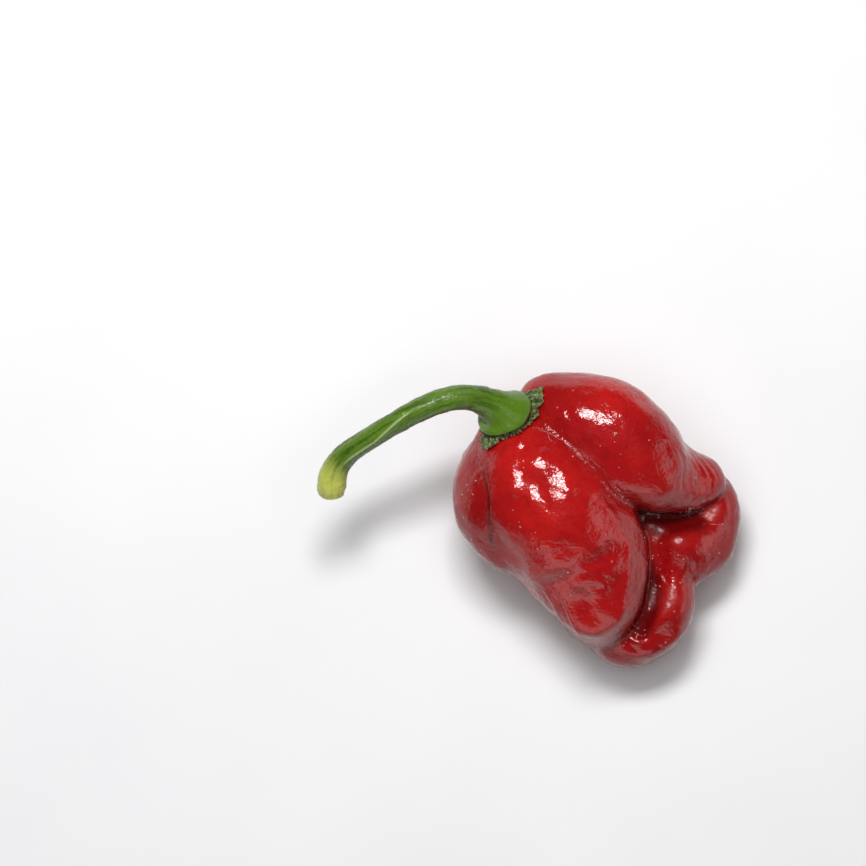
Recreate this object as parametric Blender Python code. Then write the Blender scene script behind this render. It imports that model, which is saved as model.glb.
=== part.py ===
"""A scotch bonnet pepper lying on its side: a red lobed pod and a green stem with its calyx.

The pod is one closed skin. It follows eight plump lobes melted into one another, and each lobe is a
row of balls along a curved path. Three hollows are scooped from the lower lobes: the valley between
the two top lobes, the cleft at the blossom end and the crease beside the front lobe. The pod rests
on a small flat spot. The stem is one closed skin too: the knob where it left the plant, the bent
pedicel, the bell it widens into, and the ragged edge of the calyx that lies along the pod.

X is the long way of the pepper, with the stem at the low end. Z is up. The middle of the
overall box is at x = 0, y = 0, and the lowest point is at z = 0.
"""
import bpy
import numpy as np

MM = 0.001

# Driving sizes, all in millimetres
POD_AROUND = 88           # facets round the pod
POD_ALONG = 50            # rings of facets from the stem to the blossom end
STEM_AROUND = 56          # facets round the stem
BALL_SPACING = 2.2        # between the balls of a lobe
SCOOP_SPACING = 0.9       # between the balls of a hollow
LOBE_SOFTNESS = 0.9       # how far the balls of one lobe melt together
FOLD_SOFTNESS = 0.5       # how far two lobes melt together in the fold between them
SCOOP_SOFTNESS = 0.4      # how far the balls of a hollow melt together
REST_SOFTNESS = 0.5       # rounding round the flat spot it rests on
REST_SNAP = 0.06          # skin lower than this belongs to the flat spot
GAP = 0.42                # between the calyx and the skin under it
CALYX_MIDDLE = (-3.9, 17.7, 25.2)
CALYX_FACING = (0.55, -0.65, -0.65)    # from the stem into the pod
BELL_RADIUS = 4.7
EDGE_RADIUS = 5.25        # of the ragged edge, before its tips and flaps
EDGE_TIPS = 0.42
MOVE = (-0.15, 0.23, 0.0)  # brings the middle of the box over the origin

# Lobes that stand proud: paths of (x, y, z, ball radius)
TOP_LOBES = {
    "front": (
        ((-3.2, 15.2, 19.5, 4.4), (-0.3, 9.4, 20.5, 8.4), (3.6, 3.3, 20.6, 11.0),
         (8.0, -3.9, 18.8, 10.6), (10.9, -10.5, 16.2, 8.3), (12.1, -15.0, 14.2, 6.4)),
        ((-3.7, 13.1, 17.0, 4.6), (-1.1, 6.7, 17.0, 8.8), (-0.1, 0.6, 16.6, 9.4),
         (4.5, -5.5, 14.2, 7.5), (9.7, -12.2, 12.0, 6.1)),
        ((4.6, 8.4, 19.0, 6.6), (8.2, 1.7, 18.8, 7.0), (12.5, -4.5, 17.5, 7.4)),
        ((9.4, 0.6, 19.6, 4.6), (13.1, -2.8, 19.6, 4.8), (15.2, -6.6, 18.6, 4.8),
         (14.0, -11.3, 17.2, 4.7), (12.1, -15.4, 15.6, 4.4)),
    ),
    "left": (
        ((-5.9, 11.8, 17.4, 3.4), (-5.7, 6.7, 18.1, 7.0), (-5.6, 2.3, 18.2, 7.6),
         (-2.5, -3.7, 15.8, 5.9)),
    ),
    "upper": (
        ((1.9, 19.3, 19.0, 4.8), (8.6, 17.0, 20.0, 8.0), (14.2, 14.2, 20.6, 8.8),
         (19.2, 10.0, 20.0, 7.9)),
        ((21.3, 7.4, 17.8, 6.4), (25.4, 6.0, 16.2, 4.8), (29.8, 6.7, 14.2, 3.8)),
        ((17.2, 14.9, 16.0, 6.3), (21.4, 10.7, 14.5, 5.0), (25.2, 8.3, 13.5, 4.0), (29.0, 7.0, 12.5, 3.8)),
        ((14.2, 8.0, 23.2, 3.6), (17.0, 7.1, 23.8, 3.4), (20.5, 6.9, 23.4, 3.4), (23.0, 7.2, 21.8, 3.2)),
    ),
}

# Lobes under and behind them, which the hollows are scooped from
LOW_LOBES = {
    "right": (
        ((3.3, 13.5, 14.0, 8.0), (12.1, 6.7, 13.0, 10.4), (20.6, -3.2, 10.0, 9.6),
         (28.1, -4.5, 9.6, 5.5)),
        ((30.8, 5.1, 11.0, 4.0), (31.9, 1.9, 10.4, 4.4), (31.5, -2.2, 10.0, 4.9),
         (30.0, -4.4, 9.6, 5.0)),
    ),
    "bottom": (
        ((-1.5, 8.4, 12.0, 9.0), (7.0, -3.5, 11.0, 11.0), (16.4, -12.0, 10.5, 9.0),
         (20.8, -16.0, 9.8, 6.8)),
        ((20.6, -4.4, 10.2, 7.0), (22.5, -8.8, 12.7, 4.8), (23.2, -13.6, 11.8, 5.0),
         (20.5, -16.5, 9.8, 6.2)),
        ((12.1, -12.0, 10.0, 7.0), (16.0, -18.4, 9.0, 6.6), (18.0, -18.4, 9.0, 7.0)),
    ),
    "under": (
        ((-1.1, 3.3, 10.0, 8.5), (3.3, -3.5, 9.5, 7.8), (8.4, -10.0, 9.0, 6.7),
         (11.2, -15.8, 8.6, 6.0)),
    ),
    "back": (
        ((5.7, 18.1, 12.0, 6.7), (10.2, 16.8, 11.0, 7.0), (17.4, 12.8, 10.5, 7.0),
         (25.4, 6.2, 9.5, 5.5)),
    ),
    "base": (
        ((5.3, 8.4, 8.2, 10.0), (12.1, -0.1, 8.1, 10.3), (18.3, -6.8, 7.0, 9.0)),
    ),
}

# Hollows: softness of the rim, then the path of the balls scooped out
HOLLOWS = {
    "valley": (0.9, ((7.4, 11.1, 24.6, 0.6), (10.1, 8.7, 24.2, 1.2), (12.8, 6.5, 23.2, 1.8),
                     (15.4, 4.3, 21.8, 2.3), (17.9, 1.9, 20.4, 2.6))),
    "cleft": (1.1, ((17.9, 2.6, 20.0, 2.6), (21.0, 1.9, 18.8, 3.0), (24.7, 1.5, 18.2, 3.3),
                    (28.1, 2.0, 17.8, 3.2), (30.7, 2.8, 17.8, 2.6))),
    "crease": (1.7, ((18.6, 0.2, 19.8, 2.3), (20.3, -3.9, 18.8, 2.2), (21.0, -7.3, 17.9, 2.2),
                     (20.4, -11.7, 17.2, 2.1), (18.9, -15.8, 16.8, 1.7), (17.0, -18.8, 16.0, 1.2))),
}

# Middle line inside the pod that the skin is drawn round, from the stem to the blossom end
SPINE = ((1.1, 11.4, 16.0), (18.9, -4.4, 12.0))

# Middle line of the stem, from the knob to the bell: (x, y, z, radius)
STEM_PATH = (
    (-33.2, 4.2, 23.2, 1.9), (-33.3, 5.6, 23.7, 2.4), (-33.0, 7.7, 24.4, 2.35), (-31.9, 9.9, 25.2, 2.1),
    (-30.0, 11.7, 26.2, 1.95), (-27.3, 13.5, 27.4, 1.9), (-24.0, 15.5, 28.6, 1.9),
    (-20.7, 17.4, 29.6, 1.95), (-17.4, 19.0, 30.1, 2.0), (-14.3, 20.1, 30.0, 2.05),
    (-11.4, 20.6, 29.4, 2.1), (-9.0, 20.3, 28.4, 2.25), (-6.8, 19.5, 27.2, 2.7), (-5.3, 18.6, 26.3, 3.4),
)
# Bell and calyx rim: (way along the facing from the calyx middle, radius, least height over the skin)
BELL_PROFILE = ((-1.6, 3.9, 3.1), (-0.9, 4.42, 2.7), (-0.2, BELL_RADIUS, 2.3), (0.3, 4.6, 2.0), (0.6, 4.2, 1.7))
# Ragged edge: (radius as a share of the edge's own, height over the skin)
EDGE_PROFILE = ((0.79, 1.5), (0.86, 1.3), (0.94, 1.2), (1.0, 0.85), (0.96, GAP), (0.7, GAP), (0.36, GAP))

RED = (0.36, 0.006, 0.007, 1.0)
GREEN = (0.075, 0.19, 0.018, 1.0)


def clear_scene():
    """Remove whatever the file starts with."""
    for thing in list(bpy.data.objects):
        bpy.data.objects.remove(thing)


def smooth_path(points, count):
    """Catmull-Rom curve through the points, cut into the given count of points."""
    points = np.array(points, float)
    padded = np.vstack([2 * points[0] - points[1], points, 2 * points[-1] - points[-2]])
    place = np.linspace(0, len(points) - 1 - 1e-9, count)
    i = place.astype(int)
    t = (place - i)[:, None]
    a, b, c, d = padded[i], padded[i + 1], padded[i + 2], padded[i + 3]
    bend = (2 * a - 5 * b + 4 * c - d) * t**2 + (3 * b - a - 3 * c + d) * t**3
    return 0.5 * (2 * b + (c - a) * t + bend)


def row_of_balls(points, spacing):
    """Balls at about the given spacing along a path."""
    length = np.linalg.norm(np.diff(np.array(points)[:, :3], axis=0), axis=1).sum()
    return smooth_path(points, max(2, int(length / spacing) + 1))


def soft_least(values, softness):
    """Smooth version of the least value along the last axis, and each value's share in it."""
    least = values.min(-1, keepdims=True)
    share = np.exp((least - values) / softness)
    total = share.sum(-1, keepdims=True)
    return (least - softness * np.log(total))[..., 0], share / total


def balls_distance(points, balls, softness):
    """Distance from the points to melted balls, negative inside, and its slope."""
    middle, radius = balls[:, :3], balls[:, 3]
    squared = (points**2).sum(1)[:, None] + (middle**2).sum(1) - 2 * points @ middle.T
    away = np.sqrt(np.maximum(squared, 1e-9))
    distance, share = soft_least(away - radius, softness)
    share = share / away
    return distance, points * share.sum(1)[:, None] - share @ middle


def melt(parts, softness):
    """Join shapes, each given as distance and slope, with a soft fold between them."""
    distance, share = soft_least(np.stack([part[0] for part in parts], -1), softness)
    slope = sum(share[:, i, None] * part[1] for i, part in enumerate(parts))
    return distance, slope


def scoop(shape, tool, softness):
    """Take the tool's shape out of the other one."""
    distance, slope = melt([(-shape[0], -shape[1]), tool], softness)
    return -distance, -slope


def lobe_balls(lobes):
    """One array of balls for each lobe."""
    return [np.vstack([row_of_balls(path, BALL_SPACING) for path in paths]) for paths in lobes.values()]


TOP_BALLS = lobe_balls(TOP_LOBES)
LOW_BALLS = lobe_balls(LOW_LOBES)
HOLLOW_BALLS = [(rim, row_of_balls(path, SCOOP_SPACING)) for rim, path in HOLLOWS.values()]


def skin_distance(points):
    """Height of the points over the pod's skin in mm, negative inside, and its slope."""
    low = melt([balls_distance(points, balls, LOBE_SOFTNESS) for balls in LOW_BALLS], FOLD_SOFTNESS)
    for rim, balls in HOLLOW_BALLS:
        depth, slope = balls_distance(points, balls, SCOOP_SOFTNESS)
        low = scoop(low, (depth + LOBE_SOFTNESS + 0.36, slope), rim)
    top = [balls_distance(points, balls, LOBE_SOFTNESS) for balls in TOP_BALLS]
    distance, slope = melt(top + [low], FOLD_SOFTNESS)
    up = np.tile((0.0, 0.0, 1.0), (len(points), 1))
    return scoop((distance + LOBE_SOFTNESS, slope), (points[:, 2], up), REST_SOFTNESS)


def settle(grid, steps=2, level=0.0):
    """Move points along the slope onto the skin, or to a level over it."""
    points = grid.reshape(-1, 3)
    for _ in range(steps):
        distance, slope = skin_distance(points)
        points = points - slope * ((distance - level) / np.maximum((slope**2).sum(1), 0.25))[:, None]
    return points.reshape(grid.shape)


def even_out(grid, rounds):
    """Spread the points of a grid evenly over the skin; the first and last rows are its poles."""
    for _ in range(rounds):
        middle = (grid[:-2] + grid[2:] + np.roll(grid, 1, 1)[1:-1] + np.roll(grid, -1, 1)[1:-1]) / 4
        moved = grid.copy()
        moved[1:-1] += 0.6 * (middle - grid[1:-1])
        moved[0] = grid[1].mean(0)
        moved[-1] = grid[-2].mean(0)
        grid = settle(moved, 1)
    return grid


def pod_grid(around, along):
    """Points on the pod's skin, found by walking in from outside towards the spine."""
    start, end = np.array(SPINE)
    forward = (end - start) / np.linalg.norm(end - start)
    up = np.array([0.0, 0.0, 1.0]) - forward * forward[2]
    up /= np.linalg.norm(up)
    side = np.cross(forward, up)
    tilt = np.linspace(0, np.pi, along + 1)[:, None, None]
    turn = np.linspace(0, 2 * np.pi, around, endpoint=False)[None, :, None]
    origin = start + (0.5 - 0.5 * np.cos(tilt)) * (end - start) + 0 * turn
    way = np.sin(tilt) * (np.cos(turn) * up + np.sin(turn) * side) - np.cos(tilt) * forward
    origin, way = origin.reshape(-1, 3), way.reshape(-1, 3)
    reach = np.full(len(way), 40.0)
    for _ in range(28):
        reach -= 0.95 * skin_distance(origin + reach[:, None] * way)[0]
    grid = (origin + reach[:, None] * way).reshape(along + 1, around, 3)
    grid = settle(even_out(grid, 20), 2)
    grid[grid[..., 2] < REST_SNAP, 2] = 0.0
    return grid


def turning_frame(line):
    """Tangent and two cross directions along a line, without twist, starting from up."""
    tangent = np.gradient(line, axis=0)
    tangent /= np.linalg.norm(tangent, axis=1)[:, None]
    first = np.zeros_like(line)
    last = np.array([0.0, 0.0, 1.0])
    for i, way in enumerate(tangent):
        last = last - way * (last @ way)
        last /= np.linalg.norm(last)
        first[i] = last
    return tangent, first, np.cross(tangent, first)


def bump(angle, middle, width):
    """Bell curve of an angle, one at its middle."""
    off = (angle - middle + np.pi) % (2 * np.pi) - np.pi
    return np.exp(-(off / width)**2)


def edge_reach(angle):
    """How far the calyx edge reaches at each angle: ragged tips, and a wider flap at two places."""
    ragged = 0.6 * np.sin(7 * angle + 0.6) + 0.4 * np.sin(13 * angle + 2.0)
    flaps = 1.0 * bump(angle, -1.2, 0.75) + 1.2 * bump(angle, 1.72, 0.3)
    return EDGE_RADIUS + EDGE_TIPS * ragged + flaps


def stem_grid(around):
    """Rings of points from the cut end of the stem to the underside of the calyx."""
    angle = np.linspace(0, 2 * np.pi, around, endpoint=False)
    path = smooth_path(STEM_PATH, 30)
    line, radius = path[:, :3], path[:, 3]
    tangent, first, second = turning_frame(line)
    ribs = (1 + 0.045 * np.cos(5 * angle))[:, None]
    round_first = np.cos(angle)[:, None]
    round_second = np.sin(angle)[:, None]
    rings = [np.tile(line[0] - 0.25 * tangent[0], (around, 1))]
    rings.append(line[0] - 0.15 * tangent[0] + 1.35 * (round_first * first[0] + round_second * second[0]))
    for i, middle in enumerate(line):
        rings.append(middle + radius[i] * ribs * (round_first * first[i] + round_second * second[i]))
    facing = np.array(CALYX_FACING)
    facing /= np.linalg.norm(facing)
    up = first[-1] - facing * (first[-1] @ facing)
    up /= np.linalg.norm(up)
    side = np.cross(facing, up)
    middle = np.array(CALYX_MIDDLE)
    for forward, size, least in BELL_PROFILE:
        ring = middle + forward * facing + size * (round_first * up + round_second * side)
        low = skin_distance(ring)[0] < least
        ring[low] = settle(ring[low], 3, least)
        rings.append(ring)
    reach = edge_reach(angle)
    for share, height in EDGE_PROFILE:
        size = share * EDGE_RADIUS + (reach - EDGE_RADIUS) * max(0.0, (share - 0.7) / 0.3)
        ring = middle + 1.2 * facing + size[:, None] * (round_first * up + round_second * side)
        rings.append(settle(ring, 6, height))
    rings.append(np.tile(settle((middle + 1.2 * facing)[None], 6, GAP), (around, 1)))
    return np.array(rings)


def closed_mesh(name, grid):
    """Mesh from a grid whose first and last rows are single points; quads are cut the short way."""
    inner = grid[1:-1]
    rows, columns = inner.shape[:2]
    points = np.vstack([grid[0, :1], inner.reshape(-1, 3), grid[-1, :1]]) + MOVE
    index = 1 + np.arange(rows * columns).reshape(rows, columns)
    beside = np.roll(index, -1, 1)
    last = len(points) - 1
    faces = [(0, b, a) for a, b in zip(index[0], beside[0])]
    faces += [(last, a, b) for a, b in zip(index[-1], beside[-1])]
    for row in range(rows - 1):
        for a, b, c, d in zip(index[row], beside[row], beside[row + 1], index[row + 1]):
            if np.linalg.norm(points[a] - points[c]) <= np.linalg.norm(points[b] - points[d]):
                faces += [(a, b, c), (a, c, d)]
            else:
                faces += [(a, b, d), (b, c, d)]
    mesh = bpy.data.meshes.new(name)
    mesh.from_pydata((points * MM).tolist(), [], [tuple(int(i) for i in face) for face in faces])
    mesh.polygons.foreach_set("use_smooth", [True] * len(mesh.polygons))
    mesh.update()
    return mesh


def plain_material(name, colour, roughness):
    """Principled material of one colour."""
    material = bpy.data.materials.new(name)
    material.use_nodes = True
    shader = material.node_tree.nodes["Principled BSDF"]
    shader.inputs["Base Color"].default_value = colour
    shader.inputs["Roughness"].default_value = roughness
    shader.inputs["Metallic"].default_value = 0.0
    return material


def add_piece(name, grid, material):
    """Put one piece in the scene."""
    mesh = closed_mesh(name, grid)
    mesh.materials.append(material)
    piece = bpy.data.objects.new(name, mesh)
    bpy.context.scene.collection.objects.link(piece)
    return piece


clear_scene()
add_piece("pod", pod_grid(POD_AROUND, POD_ALONG), plain_material("pod_skin", RED, 0.2))
add_piece("stem", stem_grid(STEM_AROUND), plain_material("stem_green", GREEN, 0.42))
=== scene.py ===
"""Dress the scotch bonnet pepper: lobed glossy skin, green stem, ragged calyx, dried blossom scar.

Every piece is a surface computed with numpy on a grid. Sizes are in millimetres until the mesh is
made. The pod's skin follows the same melted lobes as the solid, then gets seams, pleats and dents.
Marks that are seen from above are given by their place in the 866 x 866 view and are
carried down the view's rays onto the skin, so they lie on it from every side.
"""

import bpy
import numpy as np
from bpy.props import FloatProperty, FloatVectorProperty, IntProperty, PointerProperty
from bpy.types import Operator, Panel, PropertyGroup
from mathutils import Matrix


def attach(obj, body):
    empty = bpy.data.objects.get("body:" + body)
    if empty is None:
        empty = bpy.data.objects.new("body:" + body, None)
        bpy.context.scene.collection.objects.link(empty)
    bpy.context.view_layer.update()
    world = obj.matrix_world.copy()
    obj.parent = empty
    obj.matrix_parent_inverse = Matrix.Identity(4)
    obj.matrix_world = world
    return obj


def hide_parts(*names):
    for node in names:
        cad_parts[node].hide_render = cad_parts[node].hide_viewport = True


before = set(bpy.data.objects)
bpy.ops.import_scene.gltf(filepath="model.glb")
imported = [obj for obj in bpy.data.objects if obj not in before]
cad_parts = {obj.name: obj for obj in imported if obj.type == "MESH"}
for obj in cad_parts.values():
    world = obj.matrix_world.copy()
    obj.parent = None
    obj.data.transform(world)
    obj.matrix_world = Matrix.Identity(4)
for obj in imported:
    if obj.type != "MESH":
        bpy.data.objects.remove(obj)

bl_info = {
    "name": "Scotch bonnet pepper",
    "version": (1, 0, 0),
    "blender": (4, 5, 0),
    "location": "View3D > Sidebar > Pepper",
    "description": "Builds the skin, stem, calyx and stage of a scotch bonnet pepper",
    "category": "Object",
}

MM = 0.001
MOVE = np.array((-0.15, 0.23, 0.0))  # brings the middle of the box over the origin

# View from straight above, in the frame of 866 x 866
FRAME_SIZE = 866
PIXEL = 0.17  # mm a pixel at the height VIEW_HEIGHT
VIEW_HEIGHT = 12.0
VIEW_MIDDLE = np.array((-16.27, 14.66))  # what the middle of the view looks at, before MOVE
CAMERA_HEIGHT = 900.0

BALL_SPACING = 2.2
SCOOP_SPACING = 0.6
LOBE_SOFTNESS = 0.9
FOLD_SOFTNESS = 0.5
SCOOP_SOFTNESS = 0.4
SCOOP_SWELL = 0.52  # how far melting swells the balls of a hollow
REST_SOFTNESS = 0.5
REST_SNAP = 0.06  # skin lower than this belongs to the flat spot

# How points are brought onto the skin
OUTSIDE = 40.0  # farther from the spine than any skin
WALK_STEPS, WALK_SHARE = 28, 0.95  # walking in from outside
EVEN_ROUNDS, EVEN_SHARE = 20, 0.6  # spreading the points evenly
RAY_START = 45.0  # height over the floor where the view's rays start walking
RAY_STEPS, RAY_SHARE = 60, 0.9

# Lobes that stand proud: paths of (x, y, z, ball radius)
TOP_LOBES = {
    "front": (
        ((-3.2, 15.2, 19.5, 4.4), (-0.3, 9.4, 20.5, 8.4), (3.6, 3.3, 20.6, 11.0), (8.0, -3.9, 18.8, 10.6),
         (10.9, -10.5, 16.2, 8.3), (12.1, -15.0, 14.2, 6.4)),
        ((-3.7, 13.1, 17.0, 4.6), (-1.1, 6.7, 17.0, 8.8), (-0.1, 0.6, 16.6, 9.4), (4.5, -5.5, 14.2, 7.5),
         (9.7, -12.2, 12.0, 6.1)),
        ((4.6, 8.4, 19.0, 6.6), (8.2, 1.7, 18.8, 7.0), (12.5, -4.5, 17.5, 7.4)),
        ((9.4, 0.6, 19.6, 4.6), (13.1, -2.8, 19.6, 4.8), (15.2, -6.6, 18.6, 4.8), (14.0, -11.3, 17.2, 4.7),
         (12.1, -15.4, 15.6, 4.4)),
    ),
    "left": (
        ((-5.9, 11.8, 17.4, 3.4), (-5.7, 6.7, 18.1, 7.0), (-5.6, 2.3, 18.2, 7.6), (-2.5, -3.7, 15.8, 5.9)),
    ),
    "upper": (
        ((1.9, 19.3, 19.0, 4.8), (8.6, 17.0, 20.0, 8.0), (14.2, 14.2, 20.6, 8.8), (19.2, 10.0, 20.0, 7.9)),
        ((21.3, 7.4, 17.8, 6.4), (25.4, 6.0, 16.2, 4.8), (29.8, 6.7, 14.2, 3.8)),
        ((17.2, 14.9, 16.0, 6.3), (21.4, 10.7, 14.5, 5.0), (25.2, 8.3, 13.5, 4.0), (29.0, 7.0, 12.5, 3.8)),
        ((14.2, 8.0, 23.2, 3.6), (17.0, 7.1, 23.8, 3.4), (20.5, 6.9, 23.4, 3.4), (23.0, 7.2, 21.8, 3.2)),
    ),
}

# Lobes under and behind them, which the hollows are scooped from
LOW_LOBES = {
    "right": (
        ((3.3, 13.5, 14.0, 8.0), (12.1, 6.7, 13.0, 10.4), (20.6, -3.2, 10.0, 9.6), (28.1, -4.5, 9.6, 5.5)),
        ((30.8, 5.1, 11.0, 4.0), (31.9, 1.9, 10.4, 4.4), (31.5, -2.2, 10.0, 4.9), (30.0, -4.4, 9.6, 5.0)),
    ),
    "bottom": (
        ((-1.5, 8.4, 12.0, 9.0), (7.0, -3.5, 11.0, 11.0), (16.4, -12.0, 10.5, 9.0),
         (20.8, -16.0, 9.8, 6.8)),
        ((20.6, -4.4, 10.2, 7.0), (22.5, -8.8, 12.7, 4.8), (23.2, -13.6, 11.8, 5.0),
         (20.5, -16.5, 9.8, 6.2)),
        ((12.1, -12.0, 10.0, 7.0), (16.0, -18.4, 9.0, 6.6), (18.0, -18.4, 9.0, 7.0)),
    ),
    "under": (
        ((-1.1, 3.3, 10.0, 8.5), (3.3, -3.5, 9.5, 7.8), (8.4, -10.0, 9.0, 6.7), (11.2, -15.8, 8.6, 6.0)),
    ),
    "back": (
        ((5.7, 18.1, 12.0, 6.7), (10.2, 16.8, 11.0, 7.0), (17.4, 12.8, 10.5, 7.0), (25.4, 6.2, 9.5, 5.5)),
    ),
    "base": (
        ((5.3, 8.4, 8.2, 10.0), (12.1, -0.1, 8.1, 10.3), (18.3, -6.8, 7.0, 9.0)),
    ),
}

# Hollows: softness of the rim, then the path of the balls scooped out
HOLLOWS = {
    "valley": (0.9, ((7.4, 11.1, 24.6, 0.6), (10.1, 8.7, 24.2, 1.2), (12.8, 6.5, 23.2, 1.8),
        (15.4, 4.3, 21.8, 2.3), (17.9, 1.9, 20.4, 2.6))),
    "cleft": (1.1, ((17.9, 2.6, 20.0, 2.6), (21.0, 1.9, 18.8, 3.0), (24.7, 1.5, 18.2, 3.3),
        (28.1, 2.0, 17.8, 3.2), (30.7, 2.8, 17.8, 2.6))),
    "crease": (1.7, ((18.6, 0.2, 19.8, 2.3), (20.3, -3.9, 18.8, 2.2), (21.0, -7.3, 17.9, 2.2),
        (20.4, -11.7, 17.2, 2.1), (18.9, -15.8, 16.8, 1.7), (17.0, -18.8, 16.0, 1.2))),
}

# Middle line inside the pod that the skin is drawn round, from the stem to the blossom end
SPINE = ((1.1, 11.4, 16.0), (18.9, -4.4, 12.0))

# Marks on the skin: half width and height in mm (a groove is negative), then the path's x, y, x, y ...
SKIN_MARKS = {
    "seam": (0.24, -0.14, 488, 450, 485, 469, 487, 483, 490, 498, 491, 512, 491, 530, 491, 548, 495, 566),
    "front_rim": (0.95, 0.26, 590, 492, 602, 504, 613, 517, 622, 532, 629, 547, 630, 561, 628, 576,
        623, 594, 619, 610, 611, 623, 599, 633),
    "front_waist": (2.0, -0.75, 540, 586, 553, 585, 572, 578, 592, 567, 610, 553, 622, 541),
    "upper_crest": (1.0, 0.1, 572, 415, 584, 413, 594, 413, 602, 418, 613, 422, 622, 424),
    "pleat_a": (0.34, 0.17, 679, 443, 682, 453, 689, 462, 692, 472, 692, 483, 696, 493, 701, 498),
    "pleat_b": (0.34, 0.18, 685, 446, 693, 453, 700, 463, 706, 473, 707, 484, 704, 493),
    "pleat_c": (0.34, 0.15, 692, 450, 702, 457, 709, 466, 714, 475, 714, 486, 709, 492),
    "pleat_d": (0.4, 0.15, 672, 446, 677, 458, 677, 470, 674, 482, 671, 494),
    "pleat_e": (0.3, 0.1, 675, 438, 685, 450, 695, 461, 699, 472, 700, 484),
    "pleat_f": (0.3, 0.1, 699, 453, 708, 459, 716, 468, 719, 478),
    "pleat_g": (0.35, 0.1, 668, 436, 670, 448, 673, 458),
    "pleat_gap_a": (0.3, -0.14, 685, 450, 692, 461, 699, 474, 700, 486, 701, 494),
    "pleat_gap_b": (0.3, -0.14, 694, 453, 703, 463, 710, 475, 710, 486, 706, 493),
    "pleat_gap_c": (0.4, -0.14, 676, 448, 683, 462, 684, 474, 683, 488, 688, 498),
    "skirt_dip": (1.8, -0.4, 664, 440, 664, 450, 668, 462, 674, 474),
    "valley_top": (0.9, -0.08, 541, 429, 552, 435, 561, 440, 571, 450, 582, 460),
    "valley_wrinkle_a": (0.3, 0.16, 580, 452, 586, 458, 590, 466),
    "valley_wrinkle_b": (0.3, 0.16, 586, 455, 593, 461, 597, 470),
    "valley_wrinkle_c": (0.3, 0.14, 592, 458, 600, 464, 606, 474),
    "front_arc_a": (0.5, -0.16, 592, 568, 600, 574, 608, 580, 618, 583),
    "front_arc_b": (0.5, -0.16, 583, 585, 590, 588, 596, 585),
    "front_arc_c": (0.6, 0.14, 574, 574, 583, 571, 592, 573, 602, 570),
    "front_arc_d": (0.6, -0.14, 606, 590, 614, 600, 616, 612),
    "low_ridge_a": (0.4, 0.2, 541, 588, 553, 603, 562, 618, 574, 632),
    "low_ridge_b": (0.4, -0.22, 548, 588, 560, 603, 570, 618, 582, 634),
    "low_ridge_c": (0.4, 0.2, 556, 594, 568, 610, 578, 626, 590, 640),
    "knot_a": (0.5, -0.4, 632, 628, 638, 634, 646, 638),
    "knot_b": (0.5, 0.3, 630, 636, 637, 642, 646, 644),
    "knot_c": (0.45, -0.3, 626, 640, 631, 648, 640, 652),
    "saddle_fold": (0.7, -0.3, 696, 584, 692, 572, 690, 560),
    "bottom_rim": (0.7, 0.14, 692, 590, 694, 604, 693, 618, 686, 634),
    "cleft_streak": (0.3, 0.15, 698, 522, 710, 525, 722, 524),
}

# Places on the lobes that are turned and flattened: from and to in the view, half width in mm,
# slopes to +X and +Y that the place faces, and the share of the lobe's roundness taken out of it
TO_WINDOW = (-0.075, 0.232)
FLATS = (
    ((520, 442), (521.5, 449), 0.45, TO_WINDOW, 0.1), ((540, 460), (541, 462), 0.6, TO_WINDOW, 0.0),
    ((519.5, 473), (516.5, 487), 0.95, TO_WINDOW, 0.7), ((533.5, 487), (535, 498), 1.2, TO_WINDOW, 0.75),
    ((555, 474), (566, 489), 0.9, TO_WINDOW, 0.75), ((556, 495), (563, 496), 0.75, TO_WINDOW, 0.6),
    ((566, 413), (566, 417), 0.55, TO_WINDOW, 0.4), ((582, 416.5), (594, 415), 0.45, TO_WINDOW, 0.3),
    ((601, 419), (612, 423.5), 0.45, TO_WINDOW, 0.3), ((663, 577), (664, 580), 0.4, TO_WINDOW, 0.6),
)
TURNS = (
    ((605, 602), (605, 602), 3.0, (0.2, -0.34), 0.3), ((722, 522), (722, 536), 2.6, (0.55, -0.1), 0.3),
    ((583, 608), (590, 620), 2.2, (0.0, -0.36), 0.3), ((650, 645), (672, 636), 1.6, (0.2, -0.4), 0.3),
    ((654, 529), (657, 532), 0.9, (0.05, -0.05), 0.0),
)
# Duller places, and places of painted shade in a deeper red: (place in the view, radius in mm, strength)
DULL_PLACES = (
    ((655, 530), 1.8, 1.0), ((677, 542), 2.2, 0.6), ((712, 512), 2.0, 1.0), ((656, 600), 2.4, 0.9),
    ((672, 598), 2.2, 0.8), ((575, 449), 2.4, 0.6), ((588, 462), 2.4, 0.6),
)
PAINTED_SHADE_PLACES = (
    ((560, 392), 5.5, 0.8), ((652, 436), 5.0, 0.5), ((590, 450), 3.0, 0.3), ((668, 460), 3.0, 0.4),
    ((468, 480), 5.5, 0.6), ((474, 528), 5.5, 0.6),
)
# Painted shade in the hollows, the cleft, the crease and along the seam: half width in mm, strength, then the
# path
PAINTED_HOLLOW_SHADES = {
    "cleft": (2.8, 0.85, 628, 506, 642, 515, 660, 521, 680, 524, 698, 522, 714, 514),
    "seam": (0.4, 0.75, 486, 458, 486, 471, 488, 484, 490, 498, 491, 512, 491, 530, 491, 546, 494, 560),
    "crease": (1.5, 0.7, 648, 562, 653, 580, 653, 598, 650, 615, 643, 632, 634, 646),
}
LOBE_CURVE = 1 / 11.5  # roundness of the lobes, which the flats undo
PLACE_FADE = 1.5  # width of a place's bell curve over its half width
MARK_END = 0.12  # share of a mark's height left at its ends
# The darkening of folds and hollows is painted shade
FOLD_WIDTH = 1.3  # how far the darkening reaches out of a fold
HOLLOW_DEPTH, HOLLOW_SHARE = 2.4, 0.25  # depth and strength of the hollows' darkening

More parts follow.
